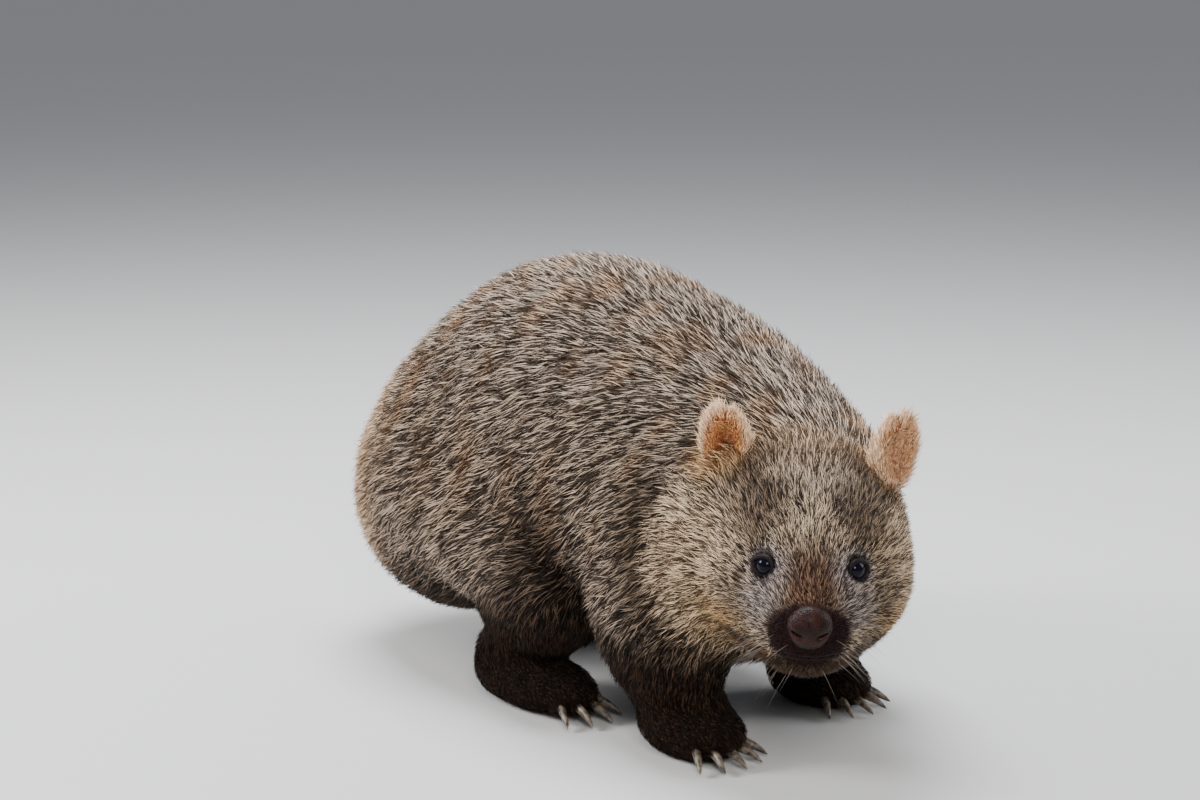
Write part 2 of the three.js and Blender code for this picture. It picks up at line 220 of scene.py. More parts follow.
def leg_form(points):
    """Distance to the forearms, shins and feet, from a start that is too far off to count."""
    distance = np.full(len(points), 9.0)
    for plan in side_plan.values():
        sign, paw, foot = plan["sign"], plan["fore_paw"], plan["hind_foot"]
        elbow, wrist = (sign * 0.085, paw + 0.019, 0.105), (sign * 0.082, paw + 0.005, 0.038)
        forearm = limb(points, elbow, wrist, 0.044, 0.032)
        forefoot = mass(points, (sign * paw_aside, paw - 0.011, 0.020), (0.034, 0.046, 0.022))
        knee, heel = (sign * 0.097, plan["knee"], 0.100), (sign * 0.097, foot + 0.033, 0.038)
        shin = limb(points, knee, heel, 0.048, 0.032)
        hind_foot = mass(points, (sign * foot_aside, foot, 0.020), (0.034, 0.063, 0.022))
        distance = melt(melt(distance, forearm, 0.010), forefoot, 0.019)
        distance = melt(melt(distance, shin, 0.010), hind_foot, 0.019)
    return distance


def toe_form(points):
    """Distance to the toes, a short rounded limb behind each claw. Higher up it isn't worked out."""
    not_near, toe_top = 0.05, 0.04
    distance = np.full(len(points), not_near)
    low = np.flatnonzero(points[:, 2] < toe_top)
    nearest = np.full(len(low), not_near)
    for root, ahead in toe_rays:
        tip = root - ahead * 0.001
        nearest = np.minimum(nearest, limb(points[low], root - ahead * 0.022, tip, 0.0095, 0.0078))
    distance[low] = nearest
    return distance


def body_form(points):
    """Distance to the whole body's outer form, at the tips of the coat."""
    neck = mass((points - neck_place) @ neck_turn, (0, 0, 0), (0.106, 0.096, 0.101))
    distance = melt(trunk_form(points), neck, 0.057)
    distance = melt(distance, head_form(in_head(points)), 0.022)
    distance = melt(distance, leg_form(points), 0.019)
    distance = melt(distance, toe_form(points), 0.004)
    tail = mass(points, (0, 0.272, 0.146), (0.012, 0.019, 0.013))
    return melt(distance, tail, 0.010)


def rise(value, low, high):
    """0 below low, 1 above high and a smooth rise between."""
    share = np.clip((value - low) / (high - low), 0, 1)
    return share * share * (3 - 2 * share)


def near(points, place, inner, outer):
    """1 within the inner radius of a place, falling to 0 at the outer one."""
    return 1 - rise(np.sqrt(((points - np.asarray(place)) ** 2).sum(-1)), inner, outer)


nose_tip = np.array([0.099, 0.0, -0.018])
eye_front = 0.0045
eye_place, eye_facing, eye_spots = {}, {}, []
for side, plan in side_plan.items():
    eye_low, eye_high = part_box(f"eye_{side}")
    eye_facing[side] = np.array([0.78, plan["sign"] * 0.60, 0.16]) / math.sqrt(0.78**2 + 0.60**2 + 0.16**2)
    eye_place[side] = (np.array(eye_low) + np.array(eye_high)) / 2
    eye_spots.append(in_head(eye_place[side] - origin) + eye_facing[side] * eye_front)


def near_eyes(local, inner, outer):
    """1 within the inner radius of either eye, falling to 0 at the outer one."""
    return np.maximum(near(local, eye_spots[0], inner, outer), near(local, eye_spots[1], inner, outer))


def ripple(points, scale, seed):
    """Smooth noise from -1 to 1: a sum of sine waves in fixed random directions."""
    draw = np.random.default_rng(seed)
    total = np.zeros(len(points))
    for octave in range(6):
        direction = draw.normal(size=3)
        direction *= (1 + 0.35 * octave) / (scale * np.linalg.norm(direction))
        total += np.sin(points @ direction * 2 * math.pi + draw.uniform(0, 6.28))
    return np.clip(total / 3.2, -1, 1)


def regions(points):
    """Shares of the coat's regions at points (head, face, muzzle, eye rim, leg, foot and belly) and,
    as local, the points in the head's frame."""
    local = in_head(points)
    outside = head_form(local) - 0.2 * np.clip(local[:, 0] + 0.03, -0.1, 0)
    head = 1 - rise(outside + 0.005 * ripple(points, 0.024, 7), -0.001, 0.016)
    face = head * rise(local[:, 0], 0.0, 0.06)
    muzzle = near(local, nose_tip - (0.012, 0, 0.006), 0.019, 0.034)
    eye = near_eyes(local, 0.009, 0.019)
    leg = (1 - rise(points[:, 2], 0.075, 0.125)) * (1 - rise(leg_form(points), 0.004, 0.018))
    foot = 1 - rise(points[:, 2], 0.035, 0.065)
    belly = 1 - rise(points[:, 2], 0.055, 0.115)
    return {"head": head, "face": face, "muzzle": muzzle, "eye": eye, "leg": leg, "foot": foot,
            "belly": belly * (1 - head), "local": local}


def coat_depth(region):
    """Depth of the coat: most on the trunk, then the head, legs, face and feet, least on the muzzle."""
    depth = 0.0095 - 0.0035 * region["head"] - 0.0030 * region["face"]
    depth = depth + (0.0045 - depth) * region["leg"]
    depth = depth + (0.0022 - depth) * region["foot"] * (1 - region["head"])
    depth = depth + (0.0012 - depth) * region["muzzle"]
    return depth + (0.0020 - depth) * region["eye"]


sole_height = 0.0004


def skin_form(points):
    """Distance to the skin: the outer form sunk by the coat's depth and cut flat at the floor."""
    distance = body_form(points) + coat_depth(regions(points))
    return np.maximum(distance, sole_height - points[:, 2])


def slope_of(form, points, step=0.0006):
    """Gradient of a form at points, from small steps along each axis."""
    slope = np.empty_like(points)
    for axis in range(3):
        ahead = np.zeros(3)
        ahead[axis] = step
        slope[:, axis] = (form(points + ahead) - form(points - ahead)) / (2 * step)
    return slope


def unit(vectors):
    """Vectors scaled to a length of one."""
    return vectors / (np.sqrt((vectors**2).sum(-1))[:, None] + 1e-9)


def net_of(form, low, high, step):
    """Closed net of four-sided faces on a form: one vertex in each grid cell that the surface
    passes, at the mean of its crossed edges, joined round each grid edge that crosses it."""
    low, high = np.asarray(low, float), np.asarray(high, float)
    count = np.ceil((high - low) / step).astype(int) + 1
    axes = [low[k] + step * np.arange(count[k]) for k in range(3)]
    values = np.empty(count)
    for i, x in enumerate(axes[0]):
        y, z = np.meshgrid(axes[1], axes[2], indexing="ij")
        plane = np.stack([np.full(y.size, x), y.ravel(), z.ravel()], axis=1)
        values[i] = form(plane).reshape(y.shape)
    inside = values < 0
    corners = [(a, b, c) for a in (0, 1) for b in (0, 1) for c in (0, 1)]
    held = np.zeros(count - 1, int)
    for a, b, c in corners:
        held += inside[a : count[0] - 1 + a, b : count[1] - 1 + b, c : count[2] - 1 + c]
    cells = np.argwhere((held > 0) & (held < 8))
    number = -np.ones(count - 1, int)
    number[tuple(cells.T)] = np.arange(len(cells))
    total = np.zeros((len(cells), 3))
    crossed = np.zeros(len(cells))
    for start in corners:
        for axis in range(3):
            if start[axis]:
                continue
            end = tuple(start[k] + (k == axis) for k in range(3))
            first = values[tuple((cells + start).T)]
            second = values[tuple((cells + end).T)]
            hit = (first < 0) != (second < 0)
            share = np.where(hit, first / np.where(hit, first - second, 1), 0)
            spot = np.asarray(start) + share[:, None] * (np.asarray(end) - np.asarray(start))
            total += spot * hit[:, None]
            crossed += hit
    points = low + step * (cells + total / crossed[:, None])
    faces = []
    for axis in range(3):
        second, third = (axis + 1) % 3, (axis + 2) % 3
        lower = [slice(1, -1)] * 3
        lower[axis] = slice(0, -1)
        upper = [slice(1, -1)] * 3
        upper[axis] = slice(1, None)
        edge_cells = np.argwhere(inside[tuple(lower)] != inside[tuple(upper)])
        edge_cells[:, second] += 1
        edge_cells[:, third] += 1
        ring = []
        for down_second, down_third in ((1, 1), (0, 1), (0, 0), (1, 0)):
            cell = edge_cells.copy()
            cell[:, second] -= down_second
            cell[:, third] -= down_third
            ring.append(number[tuple(cell.T)])
        ring = np.stack(ring, axis=1)
        outwards = inside[tuple(edge_cells.T)]
        ring[~outwards] = ring[~outwards][:, ::-1]
        faces.append(ring)
    return points, np.concatenate(faces)


def settle(form, points, rounds=2):
    """Points moved along the form's slope onto its surface."""
    for _ in range(rounds):
        slope = slope_of(form, points)
        points = points - (form(points) / np.maximum((slope**2).sum(-1), 0.2))[:, None] * slope
    return points


skin_step = 0.0042
skin_low, skin_high = (-0.17, -0.40, -0.006), (0.17, 0.30, 0.365)
skin_points, skin_faces = net_of(skin_form, skin_low, skin_high, skin_step)
skin_points = settle(skin_form, skin_points)
skin_points[:, 2] = np.maximum(skin_points[:, 2], sole_height)
skin_normals = unit(slope_of(body_form, skin_points))


def mesh_piece(name, points, faces):
    """A named smooth mesh object from arrays of points and of faces with equal numbers of corners."""
    mesh = bpy.data.meshes.new(name)
    sides = faces.shape[1]
    mesh.vertices.add(len(points))
    mesh.vertices.foreach_set("co", np.ascontiguousarray(points, np.float32).ravel())
    mesh.loops.add(faces.size)
    mesh.loops.foreach_set("vertex_index", np.ascontiguousarray(faces, np.int32).ravel())
    mesh.polygons.add(len(faces))
    mesh.polygons.foreach_set("loop_start", np.arange(0, faces.size, sides, dtype=np.int32))
    mesh.polygons.foreach_set("use_smooth", np.full(len(faces), True))
    mesh.update(calc_edges=True)
    mesh.validate()
    piece = bpy.data.objects.new(name, mesh)
    bpy.context.collection.objects.link(piece)
    return piece


def paint(piece, name, colours):
    """A colour for each vertex, as a named attribute."""
    layer = piece.data.color_attributes.new(name, "FLOAT_COLOR", "POINT")
    filled = np.concatenate([colours, np.ones((len(colours), 1))], axis=1)
    layer.data.foreach_set("color", filled.astype(np.float32).ravel())


# Markings: the same for skin and coat. Each region has the colour of its hairs' dark lower part
# and of their pale tips, and the regions' shares mix them. Some rows are painted shade instead:
# the lower sides, belly and legs, the neck crease and the folds. The paler rump is painted light.
def linear(*channels):
    """A colour seen on a screen, 0 to 255, as light."""
    seen = np.asarray(channels, float) / 255
    return np.where(seen <= 0.04045, seen / 12.92, ((seen + 0.055) / 1.055) ** 2.4)


def creases(points, normals, reach):
    """0 on open skin, up to 1 in a fold: how much nearer the body is, a reach off the skin, than
    the reach itself. It sets where shade is painted into the folds."""
    return np.clip(1.15 - body_form(points + normals * reach) / reach, 0, 1)


def markings(points, normals):
    """Dark and pale colour of the hair at points on the skin, with painted shade and painted light
    mixed in, and the regions there. Row by row of the coats, both colours are drawn towards the
    row's own by its share."""
    region = regions(points)
    local, head = region["local"], region["head"]
    width, back, height = np.abs(points[:, 0]), points[:, 1], points[:, 2]
    ahead, aside, up = local[:, 0], np.abs(local[:, 1]), local[:, 2]
    mirrored = np.abs(local)

    side = rise(width, 0.03, 0.115) * (1 - rise(height, 0.21, 0.32))
    # Painted shade: the lower side is darker, as shade under the body.
    low = rise(width, 0.03, 0.08) * (1 - rise(height, 0.07, 0.19)) * (1 - rise(back, 0.10, 0.20))
    # Painted shade in the fold between the thigh and the shoulder.
    flank_fold_shade = (1 - rise(np.abs(back + 0.062), 0.010, 0.048)) * rise(width, 0.05, 0.1)
    flank_fold_shade = flank_fold_shade * (1 - rise(height, 0.15, 0.23)) * 0.9
    # Painted light: the rump is paler and warmer, as light falls on it from behind and above.
    rump = rise(back, 0.13, 0.25) * (1 - rise(height, 0.28, 0.36))
    warm = np.clip(ripple(points, 0.09, 5), 0, 1) * 0.42 * rise(height, 0.12, 0.24)
    # Painted shade under the belly.
    belly_shade = np.clip(region["belly"] * 1.1, 0, 1)
    # Painted shade in the crease behind the head, where it meets the neck.
    behind = head_form(local)
    neck_crease_shade = rise(behind, -0.002, 0.008) * (1 - rise(behind, 0.012, 0.045)) * (1 - rise(up, 0.01, 0.06))
    crown = head * rise(up, 0.035, 0.06) * (1 - rise(ahead, -0.02, 0.03))
    spectacle = head * near(mirrored, (0.022, 0.040, 0.040), 0.016, 0.046) * 0.95
    brow = head * near(local, (0.0, 0.0, 0.062), 0.012, 0.045) * 0.6
    cheek = head * rise(aside + 0.006 * ripple(points, 0.022, 9), 0.032, 0.068)
    cheek = cheek * (1 - rise(up, 0.01, 0.055))
    under_eye = head * near(mirrored, (0.046, 0.048, 0.014), 0.006, 0.026) * 0.6
    under_eye = under_eye * (1 - rise(up, 0.0, 0.015))
    jowl = head * near(mirrored, (0.02, 0.048, 0.045), 0.006, 0.046)
    jowl = jowl * (1 - rise(up, -0.035, -0.005)) * 0.8
    bridge = head * near(local * (0.6, 0.9, 1), (0.044, 0.0, 0.004), 0.008, 0.036)
    beside = head * near(mirrored, (0.066, 0.030, 0.012), 0.008, 0.026) * 0.75
    chin = head * rise(-up, 0.037, 0.047) * rise(ahead, 0.0, 0.04)
    squashed = (1, 0.84, 1.12)
    ring = near(local * squashed, (nose_tip - (0.010, 0, 0.008)) * squashed, 0.0225, 0.0285)
    about_ear = np.maximum(near(local, (-0.040, -0.060, 0.055), 0.012, 0.032),
                           near(local, (-0.040, 0.060, 0.055), 0.012, 0.032)) * 0.8
    lashes = near_eyes(local, 0.012, 0.016) * 0.5
    rim = near_eyes(local, 0.0095, 0.0120)
    # Painted shade in the body's creases and folds, away from the face.
    fold = rise(creases(points, normals, 0.035), 0.35, 0.85) * (1 - region["face"]) * 0.8

    coats = [
        (side, (26, 18, 13), (214, 195, 177)),
        # painted shade on the lower side
        (low, (16, 11, 8), (192, 174, 158)),
        # painted shade in the thigh and shoulder fold
        (flank_fold_shade, (12, 8, 6), (112, 96, 84)),
        # painted light on the rump
        (rump, (132, 104, 80), (255, 224, 192)),
        (warm, (92, 62, 42), (204, 162, 124)),
        # painted shade under the belly
        (belly_shade, (9, 6, 5), (84, 68, 57)),
        # painted shade in the neck crease
        (neck_crease_shade, (24, 17, 12), (126, 110, 96)),
        (head, (26, 19, 14), (216, 196, 174)),
        (crown, (96, 74, 58), (206, 182, 158)),
        (spectacle, (16, 11, 8), (112, 95, 80)),
        (brow, (36, 27, 21), (180, 166, 152)),
        (cheek, (50, 37, 26), (240, 217, 190)),
        (under_eye, (26, 20, 17), (150, 136, 122)),
        (jowl, (74, 52, 32), (208, 176, 134)),
        (bridge, (44, 27, 20), (122, 99, 84)),
        (beside, (48, 42, 42), (196, 186, 182)),
        (chin, (12, 8, 5), (84, 64, 48)),
        (ring, (12, 4, 4), (44, 20, 18)),
        (about_ear, (104, 72, 48), (234, 200, 162)),
        (lashes, (84, 76, 74), (196, 188, 186)),
        (rim, (14, 9, 10), (44, 34, 34)),
        # painted shade: the legs near black, as shade under the body
        (region["leg"], (8, 5, 4), (66, 50, 40)),
        # painted shade in the creases
        (fold, (9, 6, 4), (66, 54, 45)),
    ]
    dark = np.tile(linear(36, 26, 19), (len(points), 1))
    pale = np.tile(linear(218, 202, 186), (len(points), 1))
    for share, dark_colour, pale_colour in coats:
        dark = dark + (linear(*dark_colour) - dark) * share[:, None]
        pale = pale + (linear(*pale_colour) - pale) * share[:, None]
    richer, least = 0.35, 0.0005
    dark, pale = (np.maximum(tint + (tint - tint.mean(1)[:, None]) * richer, least) for tint in (dark, pale))
    return dark, pale, region


def coat_shader(name, roughness, bump_height, bump_scale):
    """Hair finish: the painted colour with fine streaks and a fine bump."""
    finish = bpy.data.materials.new(name)
    finish.use_nodes = True
    tree = finish.node_tree
    shader = tree.nodes["Principled BSDF"]
    colour = tree.nodes.new("ShaderNodeAttribute")
    colour.attribute_name = "hair_colour"
    place = tree.nodes.new("ShaderNodeTexCoord")
    grain = tree.nodes.new("ShaderNodeTexNoise")
    grain.inputs["Scale"].default_value = bump_scale
    grain.inputs["Detail"].default_value = 3.0
    streak = tree.nodes.new("ShaderNodeHueSaturation")
    spread = tree.nodes.new("ShaderNodeMapRange")
    spread.inputs["To Min"].default_value = 0.6
    spread.inputs["To Max"].default_value = 1.4
    bump = tree.nodes.new("ShaderNodeBump")
    bump.inputs["Strength"].default_value = 0.6
    bump.inputs["Distance"].default_value = bump_height
    tree.links.new(place.outputs["Object"], grain.inputs["Vector"])
    tree.links.new(grain.outputs["Fac"], spread.inputs["Value"])
    tree.links.new(spread.outputs["Result"], streak.inputs["Value"])
    tree.links.new(colour.outputs["Color"], streak.inputs["Color"])
    tree.links.new(streak.outputs["Color"], shader.inputs["Base Color"])
    tree.links.new(grain.outputs["Fac"], bump.inputs["Height"])
    tree.links.new(bump.outputs["Normal"], shader.inputs["Normal"])
    shader.inputs["Roughness"].default_value = roughness
    shader.inputs["Specular IOR Level"].default_value = 0.12
    return finish


skin = mesh_piece("skin", skin_points + origin, skin_faces)
skin_dark, skin_pale, skin_region = markings(skin_points, skin_normals)
paint(skin, "hair_colour", skin_dark * 0.75 + skin_pale * 0.12)
skin_finish = coat_shader("undercoat", 0.85, 0.0012, 420.0)
skin.data.materials.append(skin_finish)
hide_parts("torso", "neck", "head", "tail", "foreleg_right", "foreleg_left", "hindleg_right",
            "hindleg_left")
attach(skin, "root")

# Ears: small upright leaves of skin, each cupped at the front, made as a field of their own and
# turned on the head, the left one further out. Its inside is less red.
ear_place = {"right": (-0.045, -0.061, 0.063, -24.0), "left": (-0.045, 0.061, 0.063, 34.0)}
ear_lean = 9.0
ear_half_width, ear_half_height = 0.0165, 0.0265
ear_step = 0.0016
ear_redness = {"right": 1.0, "left": 0.4}
ear_parts = {}


def ear_form(points):
    """Distance to the ear's leaf less its cup, in the ear's own frame."""
    leaf = mass(points, (0, 0, 0), (0.0075, 0.0170, 0.0270))
    cup = mass(points, (0.0080, 0, 0.003), (0.0105, 0.0125, 0.0195))
    return -melt(-leaf, cup, 0.002)


for side, (forward, left, up, turn) in ear_place.items():
    sign = side_plan[side]["sign"]
    spin = math.radians(turn)
    lean = math.radians(-sign * ear_lean)
    spin_sine, spin_cosine = math.sin(spin), math.cos(spin)
    lean_sine, lean_cosine = math.sin(lean), math.cos(lean)
    about_up = np.array([[spin_cosine, -spin_sine, 0], [spin_sine, spin_cosine, 0], [0, 0, 1]])
    about_forward = np.array([[1, 0, 0], [0, lean_cosine, -lean_sine], [0, lean_sine, lean_cosine]])
    ear_turn = head_turn @ about_up @ about_forward
    ear_at = head_place + head_turn @ np.array([forward, left, up])
    own, ear_faces = net_of(ear_form, (-0.010, -0.020, -0.030), (0.010, 0.020, 0.030), ear_step)
    own = settle(ear_form, own, 1)
    own_normals = unit(slope_of(ear_form, own, 0.0004))
    ear_points = own @ ear_turn.T + ear_at
    ear = mesh_piece(f"ear_skin_{side}", ear_points + origin, ear_faces)
    inside = rise(own[:, 0], -0.001, 0.003) * (1 - rise(np.abs(own[:, 1]) / 0.017, 0.6, 0.9))
    inside = inside * (own_normals[:, 0] > 0.2) * ear_redness[side]
    shade = linear(176, 122, 84) * (1 - inside[:, None]) + linear(124, 58, 42) * inside[:, None]
    paint(ear, "hair_colour", shade)
    ear.data.materials.append(coat_shader(f"ear_skin_{side}", 0.7, 0.0004, 900.0))
    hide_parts(f"ear_{side}")
    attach(ear, "root")
    ear_parts[side] = {"points": ear_points, "faces": ear_faces,
                       "normals": own_normals @ ear_turn.T, "turn": ear_turn}

# Coat: tufts of hair as closed six-sided slivers. Each has its root in the skin, three vertices
# round its bend and one at its tip, follows the lie of the coat, and is dark below and pale above.
# Pieces of the coat go region by region, and each tuft's map spot lies where its root is.
random = np.random.default_rng(20250)
tuft_total = 232000


def lie_of(points, normals, region):
    """Direction in which the hair lies: back and down on the trunk, down on the legs, forwards on
    the feet, and away from the nose on the head."""
    count = len(points)
    across = np.clip(points[:, 0] / 0.13, -1, 1)
    trunk = np.stack([0.10 * across, np.full(count, 0.80), -0.62 * np.abs(across) - 0.05], axis=1)
    down = np.tile([0.0, 0.15, -1.0], (count, 1))
    leg = region["leg"][:, None]
    lie = trunk * (1 - leg) + down * leg
    feet = (region["foot"] * region["leg"])[:, None]
    lie = lie * (1 - feet) + np.array([0.0, -0.8, -0.35]) * feet
    away = region["local"] - (nose_tip + (-0.004, 0, 0.004))
    away[:, 2] += 0.010
    away = unit(away)
    away[:, 2] -= 0.30 * rise(np.abs(region["local"][:, 1]), 0.04, 0.075)
    head = region["head"][:, None]
    lie = lie * (1 - head) + (away @ head_turn.T) * head
    return unit(lie - (lie * normals).sum(-1)[:, None] * normals)


def hair_length(region):
    """Length of the tufts: most on the trunk, then the head, legs, face and feet, and least on the
    muzzle and round the eyes."""
    length = 0.0180 - 0.0040 * region["head"] - 0.0056 * region["face"]
    length = length + (0.011 - length) * region["leg"]
    length = length + (0.006 - length) * region["foot"] * (1 - region["head"])
    length = length + (0.0035 - length) * region["muzzle"]
    return length + (0.0036 - length) * region["eye"]


def scatter(points, faces, normals, weights, count):
    """Places and normals of random roots on a net of four-sided faces, more where a face is larger
    or weighs more. Each is a mix of its triangle's corners, with shares that add up to one."""
    triangles = np.concatenate([faces[:, [0, 1, 2]], faces[:, [0, 2, 3]]])
    a, b, c = (points[triangles[:, k]] for k in range(3))
    area = np.linalg.norm(np.cross(b - a, c - a), axis=1) * weights[triangles].mean(1)
    chosen = np.searchsorted(np.cumsum(area) / area.sum(), random.random(count))
    chosen = np.minimum(chosen, len(triangles) - 1)
    first, second = random.random(count), random.random(count)
    fold = first + second > 1
    first[fold], second[fold] = 1 - first[fold], 1 - second[fold]
    shares = np.stack([1 - first - second, first, second], axis=1)
    corner = triangles[chosen]
    place = (points[corner] * shares[:, :, None]).sum(1)
    normal = (normals[corner] * shares[:, :, None]).sum(1)
    return place, unit(normal)


root_depth = 0.0010
bend_share = 0.45
bend_lift = 1.45
hair_floor = 0.0003


def tufts(roots, normals, lie, length, width, lift, dark, pale, tone):
    """Vertices, faces and colours of tufts: root, a ring of three at the bend, and the tip. Bend and
    tip lie along the lie's direction and the normal, by the cosine and sine of the lift."""
    count = len(roots)
    side = unit(np.cross(lie, normals))
    low_lift = lift[:, None] * bend_lift
    bend = roots + length[:, None] * bend_share * (lie * np.cos(low_lift) + normals * np.sin(low_lift))
    tip = roots + length[:, None] * (lie * np.cos(lift[:, None]) + normals * np.sin(lift[:, None]))
    half = width[:, None] / 2
    ridge = np.cross(side, lie)
    ridge *= np.sign((ridge * normals).sum(-1))[:, None]
    points = np.stack([roots - normals * root_depth, bend + side * half, bend - side * half,
                       bend + ridge * half * 0.8, tip], axis=1)
    pattern = np.array([[0, 2, 1], [0, 1, 3], [0, 3, 2], [4, 1, 2], [4, 3, 1], [4, 2, 3]])
    faces = (np.arange(count)[:, None, None] * 5 + pattern).reshape(-1, 3)
    body = dark * (1 - tone[:, None]) + pale * tone[:, None]
    end = body * 0.35 + pale * 0.75 * tone[:, None] + dark * 0.2
    colours = np.stack([dark * 0.55, body * 0.85, body * 0.85, body, end], axis=1)
    return points.reshape(-1, 3), faces, np.clip(colours.reshape(-1, 3), 0, 1)


patch_width = 0.003


def bake_map(piece, spots):
    """Map OFBake: each tuft is a patch at its root's spot on the unwrap."""
    layer = piece.data.uv_layers.new(name="OFBake")
    patch = patch_width / 2 * np.array([[-1, 0], [0, 1], [0, -1], [1, 0.4], [1, 1]])
    corner = np.empty(len(piece.data.loops), np.int32)
    piece.data.loops.foreach_get("vertex_index", corner)
    layer.data.foreach_set("uv", (spots[corner // 5] + patch[corner % 5]).astype(np.float32).ravel())


def unwrap(points, region):
    """Spots on the unwrap of the skin: the angle round the trunk's or head's own axis and the
    distance along it."""
    local = region["local"]
    head = region["head"] > 0.5
    trunk_angle = np.arctan2(points[:, 0], points[:, 2] - 0.19)
    head_angle = np.arctan2(local[:, 1], local[:, 2])
    angle = np.where(head, head_angle, trunk_angle) / (2 * math.pi) + 0.5
    along = np.where(head, (local[:, 0] + 0.12) / 0.24, (points[:, 1] + 0.32) / 0.64)
    return np.clip(np.stack([angle, along], axis=1), 0.004, 0.996)


density = 1.0 + 1.6 * skin_region["head"] + 2.6 * skin_region["face"] + 1.0 * skin_region["leg"]
density = density * np.where(skin_points[:, 2] < 0.002, 0.0, 1.0)
eye_clear = 1 - near_eyes(skin_region["local"], 0.0080, 0.0095)
nose_clear = 1 - near(skin_region["local"], nose_tip - (0.006, 0, 0.0), 0.016, 0.018)
density = density * eye_clear * nose_clear
roots, root_normals = scatter(skin_points, skin_faces, skin_normals, density, tuft_total)
root_dark, root_pale, root_region = markings(roots, root_normals)
root_lie = lie_of(roots, root_normals, root_region)
swirl = 0.30 * ripple(roots, 0.035, 11) + 0.20 * random.normal(size=len(roots))
root_side = np.cross(root_normals, root_lie)
root_lie = root_lie * np.cos(swirl)[:, None] + root_side * np.sin(swirl)[:, None]
root_length = hair_length(root_region) * random.uniform(0.75, 1.25, len(roots))
root_lift = np.radians(24 + 5 * ripple(roots, 0.02, 12) + random.normal(0, 5, len(roots)))
root_lift = np.clip(root_lift - np.radians(8) * root_region["face"], 0.12, 0.8)
root_width = 0.00082 - 0.00028 * root_region["head"] - 0.00012 * root_region["face"]
root_width = np.minimum(root_width, 0.0003 + 0.05 * root_length)
root_width = root_width * random.uniform(0.7, 1.3, len(roots)) * 1.0
streak = ripple(roots, 0.007, 13)
# More pale tips towards the rump: painted light from behind and above.
pale_share = 0.32 + 0.06 * root_region["head"] + 0.38 * rise(roots[:, 1], 0.13, 0.25) + 0.16 * streak
pale_share += 0.34 * root_region["head"] * ripple(roots, 0.0045, 14)
root_tone = 0.07 + 0.06 * streak + 0.82 * (random.random(len(roots)) < pale_share)
root_tone += 0.08 * random.normal(size=len(roots))
root_tone = np.clip(root_tone, 0.0, 1.0)
root_spots = unwrap(roots, root_region)

fur_finish = coat_shader("guard_hair", 0.62, 0.0002, 1500.0)
tuft_limit = 32000
head_tufts = root_region["head"] > 0.5
leg_tufts = (root_region["leg"] > 0.5) & ~head_tufts
trunk_tufts = ~head_tufts & ~leg_tufts
groups = {"head": (head_tufts, "face_coat"), "legs": (leg_tufts, "leg_coat"),
          "right": (trunk_tufts & (roots[:, 0] < 0), "coat"),
          "left": (trunk_tufts & (roots[:, 0] >= 0), "coat")}
for group_name, (members, slot_name) in groups.items():
    order = np.argsort(roots[:, 1] + 10 * ~members)[: members.sum()]
    for part, chosen in enumerate(np.array_split(order, max(1, math.ceil(len(order) / tuft_limit)))):
        points, faces, colours = tufts(
            roots[chosen], root_normals[chosen], root_lie[chosen], root_length[chosen],
            root_width[chosen], root_lift[chosen], root_dark[chosen], root_pale[chosen], root_tone[chosen],
        )
        points[:, 2] = np.maximum(points[:, 2], hair_floor)
        coat = mesh_piece(f"coat_{group_name}_{part + 1}", points + origin, faces)
        paint(coat, "hair_colour", colours)
        bake_map(coat, root_spots[chosen])
        coat.data.materials.append(fur_finish)
        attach(coat, "root")

